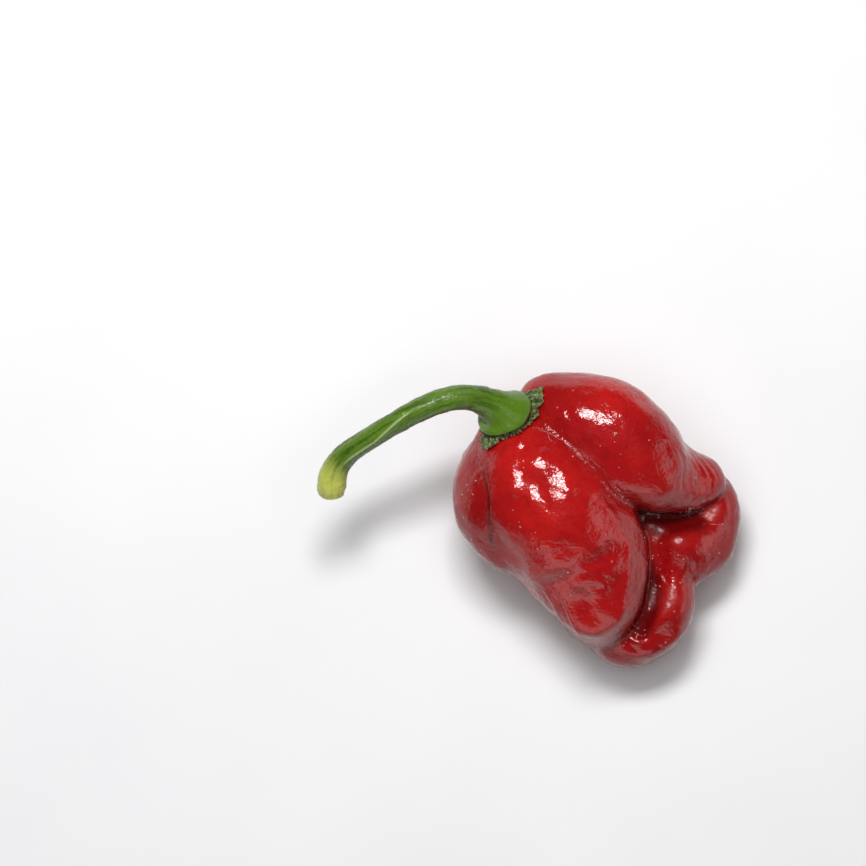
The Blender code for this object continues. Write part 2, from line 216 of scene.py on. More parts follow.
# Random ripples: (height, wavelength, seed)
RIPPLE_WAVES = 40
SKIN_RIPPLES = ((0.15, 11.0, 3), (0.05, 4.6, 5), (0.014, 2.0, 8))
PLACE_RIPPLES = ((0.008, 2.4, 17), (0.006, 1.3, 18))
STALK_RIPPLES = ((0.035, 3.2, 11), (0.016, 1.1, 12), (0.006, 0.5, 13))
CALYX_RIPPLES = ((0.16, 1.3, 21), (0.10, 0.6, 22))

STEM_PATH = (
    (-33.2, 4.2, 23.2, 1.9), (-33.3, 5.6, 23.7, 2.4), (-33.0, 7.7, 24.4, 2.35), (-31.9, 9.9, 25.2, 2.1),
    (-30.0, 11.7, 26.2, 1.95), (-27.3, 13.5, 27.4, 1.9), (-24.0, 15.5, 28.6, 1.9),
    (-20.7, 17.4, 29.6, 1.95), (-17.4, 19.0, 30.1, 2.0), (-14.3, 20.1, 30.0, 2.05),
    (-11.4, 20.6, 29.4, 2.1), (-9.0, 20.3, 28.4, 2.25), (-6.8, 19.5, 27.2, 2.7), (-5.3, 18.6, 26.3, 3.4),
)
CALYX_MIDDLE = np.array((-3.9, 17.7, 25.2))
CALYX_FACING = np.array((0.55, -0.65, -0.65))  # from the stem into the pod
# Bell and calyx rim: (way along the facing from the calyx middle, radius, least height over the skin)
BELL_PROFILE = (
    (-1.6, 3.9, 3.1), (-0.9, 4.42, 2.7), (-0.2, 4.7, 2.3), (0.3, 4.6, 2.0), (0.6, 4.2, 1.7),
)
# Outer edge of the calyx where the view shows it, round from its upper end
CALYX_EDGE = (
    (542, 386), (542, 398), (539, 409), (535, 420), (524, 428), (512, 434), (503, 436), (497, 440),
    (492, 445), (488, 449), (482, 448), (480, 441), (482, 434),
)
CALYX_BACK_RADIUS = 5.3
CALYX_INNER_RADIUS = 3.2
# Across the calyx edge, over its top and back below: (share of the way to the rim, height over the skin)
CALYX_PROFILE = (
    (0.0, 0.9), (0.15, 0.95), (0.3, 1.0), (0.4, 1.05), (0.5, 1.1), (0.58, 1.1), (0.66, 1.1),
    (0.73, 1.05), (0.79, 1.0), (0.85, 0.95), (0.9, 0.9), (0.94, 0.85), (0.98, 0.78), (1.0, 0.62),
    (0.985, 0.5), (0.9, 0.3), (0.7, 0.2), (0.3, 0.15),
)
CALYX_TEETH = ((0.13, 9, 1.0), (0.12, 19, 0.0), (0.12, 37, 2.0))  # (height, count round, phase)
CUT_END_RINGS = (0.3, 0.6, 0.82, 0.94)  # shares of the stalk's radius
CUT_END_SCAR = (1.0, 0.9, 0.7, 0.35, 0.1)
BELL_ROWS = 18
BELL_UNDER = 1.2  # depth and least height at which the bell closes
JOINT_ABOVE, JOINT_BELOW, JOINT_ROUNDS = 15, 5, 30  # rows smoothed where the bell begins

# Dried remains in the cleft: middle and spread in the view
SCAR_PLACE, SCAR_SPREAD = (689, 511.5), (4.0, 2.4)
SCAR_FIBRES, FIBRE_STEPS = 46, 7
# Pale specks: middle and spread in the view, count
FLECK_GROUPS = (
    ((660, 562), (12, 16), 26), ((622, 495), (12, 10), 16), ((637, 636), (6, 5), 14), ((630, 506),
    (3, 4), 10), ((470, 480), (10, 28), 20), ((545, 540), (30, 30), 18), ((640, 440), (30, 24), 18),
    ((700, 540), (14, 12), 12), ((566, 446), (9, 7), 26), ((700, 512), (10, 8), 16),
)
FLECK_HEIGHTS = (-0.6, -0.2, 0.2, 0.5, 0.8, 1.0)  # rings of a speck from its root to its top
FLECK_LOWEST = 4.0  # no specks lower than this
# Healed scratches in the view
SCRATCHES = (
    ((540, 429), (545, 431), (551, 433.5), (556, 437), (561, 440.5)),
    ((545, 430.5), (548, 433), (549, 437), (551, 440), (553, 441)),
    ((532, 428), (535, 427), (538, 427.5), (540, 429), (542, 430)),
    ((700, 523), (706, 524.5), (712, 525), (717, 524.5), (722, 525)),
    ((586, 459), (588, 463), (591, 466), (594, 468), (596, 471)),
    ((590, 458), (594, 461), (596, 464), (599, 466), (601, 468)),
)
SCRATCH_STEPS = 14
# Dried tissue, corky marks and the table: size in mm and detail of the colour's drift, where it begins and
# ends, the two colours, roughness, size and depth in mm of the bump
PLAIN_LOOKS = {
    "dry_fibre": (0.7, 4, 0.3, 0.7, (0.10, 0.055, 0.05), (0.42, 0.33, 0.29), 0.7, 0.3, 0.05),
    "pale_speck": (0.8, 3, 0.35, 0.65, (0.45, 0.10, 0.08), (0.72, 0.42, 0.35), 0.35, 0.3, 0.03),
    "healed_scratch": (0.8, 3, 0.35, 0.65, (0.42, 0.04, 0.04), (0.55, 0.20, 0.17), 0.35, 0.3, 0.03),
    "white_table": (60.0, 3, 0.3, 0.7, (0.80, 0.80, 0.81), (0.84, 0.84, 0.845), 0.6, 4.0, 0.02),
}
PEPPER_MIDDLE = (12.0, 0.0, 16.0)  # where the lights point
# Lights: middle, size, setting with the power, share of it, whether it shows in mirrors and lights matt skin
LIGHTS = {
    "window": ((-60.0, 262.0, 560.0), (210.0, 112.0), "window_power", 1.0, True, True),
    "south_card": ((-50.0, -560.0, 205.0), (760.0, 300.0), "card_power", 1.0, True, False),
    "east_card": ((570.0, -60.0, 175.0), (560.0, 240.0), "card_power", 0.6, True, False),
    "soft_fill": ((-40.0, 120.0, 880.0), (800.0, 800.0), "fill_power", 1.0, False, True),
}
SENSOR = 36.0


# Shape of the pod

def unit(vectors):
    """The vectors cut to length one."""
    return vectors / np.linalg.norm(vectors, axis=-1, keepdims=True)


def spokes(angle, first, second):
    """Directions at the angles, turning from the first one to the second."""
    return np.cos(angle)[:, None] * first + np.sin(angle)[:, None] * second


def full_turn(count):
    """Angles spread evenly round."""
    return np.linspace(0, 2 * np.pi, count, endpoint=False)


def curve_between(rows, place):
    """Catmull-Rom curve at places between rows that have one more before the first and after the last."""
    whole = place.astype(int)
    t = (place - whole).reshape(-1, *[1] * (rows.ndim - 1))
    a, b, c, d = (rows[whole + k] for k in range(4))
    bend = (2 * a - 5 * b + 4 * c - d) * t**2 + (3 * b - a - 3 * c + d) * t**3
    return 0.5 * (2 * b + (c - a) * t + bend)


def smooth_path(points, count):
    """Curve through the points, cut into the given count of points."""
    points = np.array(points, float)
    padded = np.vstack([2 * points[0] - points[1], points, 2 * points[-1] - points[-2]])
    return curve_between(padded, np.linspace(0, len(points) - 1 - 1e-9, count))


def row_of_balls(points, spacing):
    """Balls at about the given spacing along a path."""
    length = np.linalg.norm(np.diff(np.array(points)[:, :3], axis=0), axis=1).sum()
    return smooth_path(points, max(2, int(length / spacing) + 1))


def soft_least(values, softness):
    """Smooth least value along the last axis, and each value's share in it.

    It is minus the softness times the log of the sum of exp(-value / softness).
    """
    least = values.min(-1, keepdims=True)
    share = np.exp((least - values) / softness)
    total = share.sum(-1, keepdims=True)
    return (least - softness * np.log(total))[..., 0], share / total


def balls_distance(points, balls, softness):
    """Distance from the points to melted balls, negative inside, and its slope."""
    middle, radius = balls[:, :3], balls[:, 3]
    squared = (points**2).sum(1)[:, None] + (middle**2).sum(1) - 2 * points @ middle.T
    away = np.sqrt(np.maximum(squared, 1e-9))
    distance, share = soft_least(away - radius, softness)
    share = share / away
    return distance, points * share.sum(1)[:, None] - share @ middle


def melt(parts, softness):
    """Join shapes, each given as distance and slope, with a soft fold between them."""
    distance, share = soft_least(np.stack([part[0] for part in parts], -1), softness)
    slope = sum(share[:, i, None] * part[1] for i, part in enumerate(parts))
    return distance, slope


def scoop(shape, tool, softness):
    """Take the tool's shape out of the other one."""
    distance, slope = melt([(-shape[0], -shape[1]), tool], softness)
    return -distance, -slope


def lobe_balls(lobes):
    """One array of balls for each lobe."""
    return [np.vstack([row_of_balls(path, BALL_SPACING) for path in paths]) for paths in lobes.values()]


TOP_BALLS = lobe_balls(TOP_LOBES)
LOW_BALLS = lobe_balls(LOW_LOBES)
HOLLOW_BALLS = [(rim, row_of_balls(path, SCOOP_SPACING)) for rim, path in HOLLOWS.values()]


def lobe_distances(points):
    """Distances and slopes of each top lobe, and of the low lobes melted into one."""
    top, low = ([balls_distance(points, balls, LOBE_SOFTNESS) for balls in lobes]
                for lobes in (TOP_BALLS, LOW_BALLS))
    return top, melt(low, FOLD_SOFTNESS)


def skin_distance(points):
    """Height of the points over the pod's skin in mm, negative inside, and its slope."""
    top, low = lobe_distances(points)
    for rim, balls in HOLLOW_BALLS:
        depth, slope = balls_distance(points, balls, SCOOP_SOFTNESS)
        low = scoop(low, (depth + LOBE_SOFTNESS + SCOOP_SWELL, slope), rim)
    distance, slope = melt(top + [low], FOLD_SOFTNESS)
    up = np.tile((0.0, 0.0, 1.0), (len(points), 1))
    return scoop((distance + LOBE_SOFTNESS, slope), (points[:, 2], up), REST_SOFTNESS)


def outward(points):
    """Way straight out of the skin at the points."""
    return unit(skin_distance(points)[1])


def settle(grid, steps=2, level=0.0):
    """Move points along the slope onto the skin, or to a level over it."""
    points = grid.reshape(-1, 3)
    for _ in range(steps):
        distance, slope = skin_distance(points)
        points = points - slope * ((distance - level) / np.maximum((slope**2).sum(1), 0.25))[:, None]
    return points.reshape(grid.shape)


def even_out(grid, rounds):
    """Spread the points of a grid evenly over the skin; the first and last rows are its poles."""
    for _ in range(rounds):
        middle = (grid[:-2] + grid[2:] + np.roll(grid, 1, 1)[1:-1] + np.roll(grid, -1, 1)[1:-1]) / 4
        moved = grid.copy()
        moved[1:-1] += EVEN_SHARE * (middle - grid[1:-1])
        moved[0] = grid[1].mean(0)
        moved[-1] = grid[-2].mean(0)
        grid = settle(moved, 1)
    return grid


def pod_grid(around, along):
    """Points on the pod's skin, found by walking in from outside towards the spine."""
    start, end = np.array(SPINE)
    forward = unit(end - start)
    up = unit(np.array([0.0, 0.0, 1.0]) - forward * forward[2])
    side = np.cross(forward, up)
    tilt = np.linspace(0, np.pi, along + 1)[:, None, None]
    way = np.sin(tilt) * spokes(full_turn(around), up, side) - np.cos(tilt) * forward
    origin = np.broadcast_to(start + (0.5 - 0.5 * np.cos(tilt)) * (end - start), way.shape)
    origin, way = origin.reshape(-1, 3), way.reshape(-1, 3)
    reach = np.full(len(way), OUTSIDE)
    for _ in range(WALK_STEPS):
        reach -= WALK_SHARE * skin_distance(origin + reach[:, None] * way)[0]
    grid = (origin + reach[:, None] * way).reshape(along + 1, around, 3)
    return settle(even_out(grid, EVEN_ROUNDS))


def finer_grid(grid, times):
    """The grid with curved points put between its own, closed round the rows and past the poles."""
    rows, columns = grid.shape[:2]
    closed = np.hstack([grid[:, -1:], grid, grid[:, :2]]).swapaxes(0, 1)
    grid = curve_between(closed, np.arange(columns * times) / times).swapaxes(0, 1)
    half = columns * times // 2
    padded = np.concatenate([np.roll(grid[1], half, 0)[None], grid, np.roll(grid[-2], half, 0)[None]])
    grid = curve_between(padded, np.linspace(0, rows - 1 - 1e-9, (rows - 1) * times + 1))
    grid[0], grid[-1] = grid[0].mean(0), grid[-1].mean(0)
    return grid


# Detail on the skin

def view_rays(pixels):
    """Start and direction of the view's rays through places in the frame."""
    camera = np.array((*VIEW_MIDDLE, CAMERA_HEIGHT))
    offset = (np.array(pixels, float) - FRAME_SIZE / 2) * PIXEL * (1, -1)
    target = np.column_stack([offset + VIEW_MIDDLE, np.full(len(offset), VIEW_HEIGHT)])
    return camera, unit(target - camera)


def seen_on_skin(pixels, level=0.0):
    """Where the rays through places in the frame first meet the skin."""
    camera, way = view_rays(pixels)
    reach = np.full(len(way), CAMERA_HEIGHT - RAY_START)
    for _ in range(RAY_STEPS):
        reach += RAY_SHARE * (skin_distance(camera + reach[:, None] * way)[0] - level)
    return camera + reach[:, None] * way


def ripple(points, length, seed):
    """Even random bumps of about one wavelength: a sum of plane waves in seeded random directions."""
    chance = np.random.default_rng(seed)
    way = chance.normal(size=(RIPPLE_WAVES, 3))
    pitch = 2 * np.pi / length * chance.uniform(0.7, 1.35, RIPPLE_WAVES)
    way *= (pitch / np.linalg.norm(way, axis=1))[:, None]
    phase = chance.uniform(0, 2 * np.pi, RIPPLE_WAVES)
    return np.sqrt(2 / RIPPLE_WAVES) * np.sin(points @ way.T + phase).sum(1)


def ripples(points, table):
    """Sum of the table's ripples, each (height, wavelength, seed)."""
    return sum(height * ripple(points, length, seed) for height, length, seed in table)


def mark_height(points, mark):
    """Height of a ridge or groove: a bell curve of the distance to its path, fading at both ends."""
    width, height, *pixels = mark
    line = seen_on_skin(smooth_path(np.reshape(pixels, (-1, 2)), 2 * len(pixels)))
    near = np.linalg.norm(points - line.mean(0), axis=1) < np.ptp(line, axis=0).max() + 3 * width
    result = np.zeros(len(points))
    a, b = line[:-1], line[1:]
    step = b - a
    off = points[near][:, None, :] - a[None]
    share = np.clip((off * step).sum(2) / (step**2).sum(1), 0, 1)
    gap = np.linalg.norm(off - share[..., None] * step, axis=2)
    best = gap.argmin(1)
    row = np.arange(len(best))
    along = (best + share[row, best]) / len(a)
    fade = np.clip(np.minimum(along, 1 - along) * 5, MARK_END, 1)
    result[near] = height * fade * np.exp(-(gap[row, best] / width)**2)
    return result


def leaning_height(points, places, level):
    """Height of turned and flattened places, and how far they cover the points.

    Each is a plane that turns the place, plus a bowl that undoes the lobe's roundness, plus the level
    of the place's middle. A bell curve fades it out. Where places meet, each counts by the cube of its
    bell curve.
    """
    start, end = (seen_on_skin([place[i] for place in places]) for i in (0, 1))
    normal = outward((start + end) / 2)
    heights, weights = [], []
    for a, b, (_, _, width, facing, bowl), out, rise in zip(start, end, places, normal, level):
        facing = np.array((*facing, 1.0))
        off = points - (a + b) / 2
        plane = off @ (out - facing / (facing @ out))
        heights.append(plane + bowl * 0.5 * LOBE_CURVE * (off**2).sum(1) + rise)
        share = np.clip((points - a) @ (b - a) / max((b - a) @ (b - a), 1e-9), 0, 1)
        squared = ((points - a - share[:, None] * (b - a))**2).sum(1)
        weights.append(np.exp(-squared / (PLACE_FADE * width)**2))
    weights = np.array(weights)
    share = weights**3 / np.maximum((weights**3).sum(0), 1e-12)
    cover = 1 - np.prod(1 - weights, 0)
    return cover * (share * heights).sum(0), cover


def lobe_detail(points):
    """Ripples, seams, pleats and wrinkles over the smooth lobes."""
    marks = sum(mark_height(points, mark) for mark in SKIN_MARKS.values())
    return ripples(points, SKIN_RIPPLES) + marks


def skin_detail(points):
    """Everything that stands over or dips into the smooth lobes; the flattened places replace the rest."""
    height = lobe_detail(points) + leaning_height(points, TURNS, np.zeros(len(TURNS)))[0]
    start, end = (seen_on_skin([place[i] for place in FLATS]) for i in (0, 1))
    flat, cover = leaning_height(points, FLATS, lobe_detail((start + end) / 2))
    return height * (1 - cover) + flat + ripples(points, PLACE_RIPPLES)


def fold_depth(points):
    """How deep a point lies in a fold between two lobes, from nothing to one, and how deep in a hollow: the
    shares of painted shade for the skin.
    """
    top, (low, _) = lobe_distances(points)
    nearest = np.sort(np.stack([distance for distance, _ in top] + [low], 1), 1)
    width, _, *path = SKIN_MARKS["seam"]
    fold = np.exp(-(nearest[:, 1] - nearest[:, 0]) / FOLD_WIDTH)
    # A painted shade line along the seam
    fold += mark_height(points, (1.6 * width, 0.9, *path))
    # Painted shade in the hollows, deeper where the listed paths run
    hollow = HOLLOW_SHARE * np.clip(-(low + LOBE_SOFTNESS) / HOLLOW_DEPTH, 0, 1)
    for shade in PAINTED_HOLLOW_SHADES.values():
        hollow += mark_height(points, shade)
    return np.minimum(fold, 1), np.minimum(hollow, 1)


def patches(points, places):
    """Sum of bell curves round places in the view."""
    middle = seen_on_skin([place for place, _, _ in places])
    radius, strength = np.array([place[1:] for place in places]).T
    squared = ((points[:, None] - middle[None])**2).sum(2)
    return np.minimum((strength * np.exp(-squared / radius**2)).sum(1), 1)


# Meshes

def add_attribute(mesh, name, values):
    """Store one number for each point."""
    attribute = mesh.attributes.new(name, "FLOAT", "POINT")
    attribute.data.foreach_set("value", np.ascontiguousarray(values, dtype=np.float32))


def grid_faces(rows, columns, first=0):
    """Quads between rows of points that close on themselves."""
    index = first + np.arange(rows * columns).reshape(rows, columns)
    beside = np.roll(index, -1, 1)
    return np.stack([index[:-1], beside[:-1], beside[1:], index[1:]], -1).reshape(-1, 4)


def closed_faces(rows, columns):
    """Triangles and quads over rows of points with a single point before and after them."""
    top = 1 + np.arange(columns)
    low = top + (rows - 1) * columns
    caps = [np.stack([0 * top, np.roll(top, -1), top], 1),
            np.stack([0 * low + rows * columns + 1, low, np.roll(low, -1)], 1)]
    return np.vstack(caps), grid_faces(rows, columns, 1)


def smooth_mesh(name, points, faces):
    """Smooth-shaded mesh from points in mm and faces."""
    mesh = bpy.data.meshes.new(name)
    mesh.from_pydata(((points + MOVE) * MM).tolist(), [], faces)
    mesh.polygons.foreach_set("use_smooth", [True] * len(mesh.polygons))
    mesh.update()
    return mesh


def closed_mesh(name, grid, values):
    """Closed mesh from a grid that starts and ends in one point, with numbers for each row or point."""
    inner = grid[1:-1]
    points = np.vstack([grid[0, :1], inner.reshape(-1, 3), grid[-1, :1]])
    caps, sheet = closed_faces(*inner.shape[:2])
    mesh = smooth_mesh(name, points, caps.tolist() + sheet.tolist())
    for key, value in values.items():
        value = np.broadcast_to(value.reshape(len(grid), -1), grid.shape[:2])
        add_attribute(mesh, key, np.concatenate([value[0, :1], value[1:-1].ravel(), value[-1, :1]]))
    return mesh


def tube_mesh(name, lines, radii, sides):
    """Many thin closed tubes in one mesh: lines is (tubes, points, 3) and radii is (tubes, points)."""
    tubes, count = lines.shape[:2]
    way = unit(np.gradient(lines, axis=1))
    first = unit(np.cross(way, (0.31, 0.2, 0.93)))
    second = np.cross(way, first)
    ring = spokes(full_turn(sides), first[:, :, None], second[:, :, None])
    skin = lines[:, :, None] + radii[:, :, None, None] * ring
    points = np.concatenate([lines[:, :1], skin.reshape(tubes, -1, 3), lines[:, -1:]], 1)
    caps, sheet = closed_faces(count, sides)
    base = (np.arange(tubes) * points.shape[1])[:, None, None]
    faces = (base + sheet).reshape(-1, 4).tolist() + (base + caps).reshape(-1, 3).tolist()
    return smooth_mesh(name, points.reshape(-1, 3), faces)


def add_piece(mesh, material, node=None):
    """Put one piece in the scene, riding on the pepper, in place of a node where one is given."""
    mesh.materials.append(material)
    piece = bpy.data.objects.new(mesh.name, mesh)
    bpy.context.scene.collection.objects.link(piece)
    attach(piece, "root")
    if node:
        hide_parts(node)


# Materials

class Nodes:
    """Short way of adding and linking shader nodes."""

    def __init__(self, name):
        self.material = bpy.data.materials.new(name)
        self.material.use_nodes = True
        self.tree = self.material.node_tree
        self.shader = self.tree.nodes["Principled BSDF"]
        self.place = self.add("ShaderNodeTexCoord").outputs["Object"]

    def add(self, kind, **inputs):
        """New node with the given inputs, each a number or another node's output."""
        node = self.tree.nodes.new(kind)
        for key, value in inputs.items():
            self.set(node.inputs[key.replace("_", " ")], value)
        return node

    def set(self, socket, value):
        """Link an output to the socket, or write a number or a colour in it."""
        if isinstance(value, bpy.types.NodeSocket):
            self.tree.links.new(value, socket)
        else:
            socket.default_value = (*value, 1) if isinstance(value, tuple) else value

    def noise(self, size_mm, detail=3.0):
        """Noise with features of about the given size."""
        node = self.add("ShaderNodeTexNoise", Vector=self.place, Scale=1000 / size_mm, Detail=detail)
        return node.outputs["Fac"]

    def ramp(self, value, *stops):
        """Colour ramp between two (position, colour) stops."""
        node = self.add("ShaderNodeValToRGB", Fac=value)
        for element, (position, colour) in zip(node.color_ramp.elements, stops):
            element.position = position
            element.color = (*colour, 1)
        return node.outputs["Color"]

    def fade(self, value, low, high):
        """Zero below the low value and one above the high one, smooth between."""
        node = self.add("ShaderNodeMapRange", Value=value, From_Min=low, From_Max=high)
        node.interpolation_type = "SMOOTHSTEP"
        return node.outputs["Result"]

    def spread(self, value, low, high):
        """The value, from nothing to one, spread between the low number and the high one."""
        return self.add("ShaderNodeMapRange", Value=value, To_Min=low, To_Max=high).outputs["Result"]

    def mix(self, share, a, b):
        """Mix of two colours."""
        node = self.tree.nodes.new("ShaderNodeMix")
        node.data_type = "RGBA"
        for key, value in (("Factor", share), ("A", a), ("B", b)):
            self.set(node.inputs[key], value)
        return node.outputs["Result"]

    def tint(self, colour, share, strength, other):
        """The colour, mixed with the other one by a share times a strength."""
        return self.mix(self.times(share, strength), colour, other)

    def times(self, a, b):
        """Product of two values."""
        return self.sum(a, b, "MULTIPLY")

    def sum(self, a, b, how="ADD"):
        """Arithmetic on two values."""
        node = self.tree.nodes.new("ShaderNodeMath")
        node.operation = how
        self.set(node.inputs[0], a)
        self.set(node.inputs[1], b)
        return node.outputs[0]

    def value(self, name):
        """A number stored on the piece's points."""
        node = self.tree.nodes.new("ShaderNodeAttribute")
        node.attribute_name = name
        return node.outputs["Fac"]

    def bump(self, height, depth_mm, before=None):
        """Bump of the given depth, on top of an earlier one."""
        node = self.add("ShaderNodeBump", Height=height, Distance=depth_mm * MM)
        if before is not None:
            self.tree.links.new(before, node.inputs["Normal"])
        return node.outputs["Normal"]

    def flesh(self, ior, weight, colours, depth_mm):
        """Gloss, and light that travels a little way under the surface."""
        self.shader.inputs["IOR"].default_value = ior
        self.shader.inputs["Subsurface Weight"].default_value = weight
        self.shader.inputs["Subsurface Radius"].default_value = colours
        self.shader.inputs["Subsurface Scale"].default_value = depth_mm * MM

    def finish(self, colour, roughness, normal):
        """Link the colour, roughness and normal to the shader."""
        self.set(self.shader.inputs["Base Color"], colour)
        self.set(self.shader.inputs["Roughness"], roughness)
        self.tree.links.new(normal, self.shader.inputs["Normal"])
        return self.material


def red_skin(settings):
    """Waxy red skin: broad colour drift, painted shade in the folds, hollows, shaded places and low parts,
    fine streaks, pale flecks and orange-peel bump.
    """
    n = Nodes("red_skin")
    red = tuple(settings.skin_colour)
    # Deeper red, used for the random drift and for all the painted shade below
    deep = tuple(0.52 * c for c in red)
    warm = (min(1, red[0] * 1.22), red[1] * 1.9, red[2] * 1.2)
    colour = n.mix(n.fade(n.noise(9.0, 2), 0.35, 0.68), red, warm)
    colour = n.tint(colour, n.fade(n.noise(3.2, 4), 0.5, 0.8), 0.35, deep)
    colour = n.tint(colour, n.fade(n.noise(0.9, 5), 0.45, 0.75), 0.3, deep)
    # Painted shade: the skin turns deeper red towards the bottom of the pod
    height = n.add("ShaderNodeSeparateXYZ", Vector=n.place).outputs["Z"]
    colour = n.tint(colour, n.fade(height, 0.026, 0.011), 0.42, deep)
    # Painted shade in the folds between lobes and along the seam
    colour = n.tint(colour, n.value("fold"), 0.6, deep)
    # Painted shade on broad places: the top of the upper lobe, the left lobe and others
    colour = n.tint(colour, n.value("deep"), 0.7, deep)
    # Painted shade in the hollows, cleft, crease and seam, with a ragged edge
    hollow_shade_red = tuple(0.2 * c for c in red)
    edge = n.sum(n.value("hollow"), n.times(n.noise(1.6, 4), 0.4))
    colour = n.tint(colour, n.fade(edge, 0.25, 1.1), 0.85, hollow_shade_red)
    cells = n.add("ShaderNodeTexVoronoi", Vector=n.place, Scale=1000 / 2.1)
    near = n.fade(cells.outputs["Distance"], 0.11, 0.06)
    fleck = n.times(near, n.fade(n.noise(6.0, 3), 0.52, 0.6))
    colour = n.tint(colour, fleck, 0.75, (0.62, 0.27, 0.22))
    rough = n.spread(n.noise(2.4, 5), settings.gloss_roughness * 0.7, settings.gloss_roughness * 1.5)
    dull = n.sum(rough, n.times(n.value("dull"), 0.25))
    normal = n.bump(n.noise(1.1, 4), 0.085)
    normal = n.bump(n.noise(0.55, 2), 0.05, normal)
    normal = n.bump(n.times(n.noise(0.8, 4), n.value("fold")), 0.25, normal)
    normal = n.bump(fleck, 0.08, normal)
    n.flesh(1.5, 0.12, (1.0, 0.16, 0.1), 1.6)
    return n.finish(colour, dull, normal)


def green_stalk(settings):
    """Green stalk: paler ridges that are partly a painted highlight, fibres along it, light dots, yellow
    towards the cut end.
    """
    n = Nodes("green_stalk")
    green = tuple(settings.stalk_colour)
    dark = tuple(0.42 * c for c in green)
    pale = (0.24, 0.36, 0.10)
    stretch = n.add("ShaderNodeCombineXYZ", X=n.value("round"), Y=n.value("along"), Z=0.0)
    fibre = n.add("ShaderNodeTexNoise", Vector=stretch.outputs[0], Scale=1.0, Detail=5.0).outputs["Fac"]
    crease = n.tint(dark, n.value("bell"), 0.75, green)
    colour = n.mix(n.fade(fibre, 0.32, 0.6), crease, green)
    colour = n.tint(colour, n.fade(n.noise(1.3, 4), 0.5, 0.75), 0.35, crease)
    # Paler ridges, partly their own colour and partly a painted highlight, brightest along the sharp ridge
    colour = n.tint(colour, n.value("ridge"), 0.5, pale)
    colour = n.tint(colour, n.fade(n.value("ridge"), 0.45, 0.85), 0.6, (0.42, 0.48, 0.2))
    dots = n.add("ShaderNodeTexVoronoi", Vector=n.place, Scale=1000 / 0.75).outputs["Distance"]
    dot = n.times(n.fade(dots, 0.2, 0.08), n.fade(n.noise(3.0, 2), 0.45, 0.55))
    colour = n.tint(colour, dot, 0.6, pale)
    end = n.sum(n.value("cut_end"), n.times(fibre, 0.5))
    colour = n.mix(n.fade(end, 0.3, 1.1), colour, (0.46, 0.49, 0.09))
    colour = n.mix(n.value("scar"), colour, (0.30, 0.24, 0.10))
    normal = n.bump(n.times(fibre, n.sum(1.2, n.value("bell"), "SUBTRACT")), 0.12)
    normal = n.bump(n.noise(0.45, 4), 0.07, normal)
    n.flesh(1.47, 0.1, (0.4, 0.6, 0.15), 1.0)
    return n.finish(colour, n.spread(n.noise(0.8, 3), 0.16, 0.4), normal)


def rough_calyx(settings):
    """Rough olive calyx edge with dark pits, light creases and torn, dried tips."""
    n = Nodes("rough_calyx")
    green = tuple(settings.stalk_colour)
    colour = n.mix(n.fade(n.noise(0.8, 5), 0.38, 0.6), (0.022, 0.035, 0.008), green)
    colour = n.tint(colour, n.fade(n.noise(0.4, 4), 0.52, 0.66), 0.8, (0.26, 0.30, 0.12))
    rim = n.fade(n.sum(n.value("rim"), n.times(n.noise(0.6, 4), 0.5)), 1.16, 1.34)
    colour = n.tint(colour, rim, 0.85, (0.40, 0.29, 0.16))
    return n.finish(colour, 0.5, n.bump(n.noise(0.45, 5), 0.3))


def plain_look(name):
    """Dull material whose colour drifts between two, with a fine bump."""
    size, detail, near, far, dark, pale, roughness, bump_size, depth = PLAIN_LOOKS[name]
    n = Nodes(name)
    colour = n.ramp(n.noise(size, detail), (near, dark), (far, pale))
    return n.finish(colour, roughness, n.bump(n.noise(bump_size), depth))


# Pieces

def turning_frame(line):
    """Tangent and two cross directions along a line, without twist, starting from up."""
    tangent = unit(np.gradient(line, axis=0))
    first = np.zeros_like(line)
    last = np.array([0.0, 0.0, 1.0])
    for i, way in enumerate(tangent):
        last = unit(last - way * (last @ way))
        first[i] = last
    return tangent, first, np.cross(tangent, first)


def calyx_axes():
    """Facing, up and side directions of the calyx, matching the end of the stem."""
    line = smooth_path(STEM_PATH, 30)[:, :3]
    first = turning_frame(line)[1][-1]
    facing = unit(CALYX_FACING)
    up = unit(first - facing * (first @ facing))
    return facing, up, np.cross(facing, up)


def ridge_height(angle, along):
    """Five lengthwise ridges that turn a little along the stalk; the first is sharp in its lower half."""
    lean = np.interp(along, (9.0, 13.8, 18.0, 23.0), (0.2, 0.2, -0.25, -0.7))
    off = (angle - lean + np.pi) % (2 * np.pi) - np.pi
    sharp = np.interp(along, (5.0, 9.0, 20.0, 25.0), (0.2, 1.0, 1.0, 0.2))
    main = sharp * np.exp(-(off / 0.14)**2)
    spacing = 2 * np.pi / 5
    other = (off + spacing / 2) % spacing - spacing / 2
    return np.maximum(main, 0.35 * np.exp(-(other / 0.3)**2))


def build_pod(settings):
    """The red skin, from the stem's pole to the blossom end."""
    grid = finer_grid(pod_grid(settings.around, settings.along), settings.finer)
    grid = settle(even_out(settle(grid), 4))
    points = grid.reshape(-1, 3)
    low = np.clip(points[:, 2] / 1.5, 0, 1)
    height = skin_detail(points) * low
    # Shares of painted shade in the folds, hollows and shaded places, and of duller gloss
    fold, hollow = fold_depth(points)
    values = {"fold": fold, "hollow": hollow, "dull": patches(points, DULL_PLACES),
              "deep": patches(points, PAINTED_SHADE_PLACES)}
    detailed = (points + outward(points) * height[:, None]).reshape(grid.shape)
    detailed[0], detailed[-1] = detailed[0].mean(0), detailed[-1].mean(0)
    detailed[detailed[..., 2] < REST_SNAP, 2] = 0.0
    return closed_mesh("pepper_skin", detailed, values)


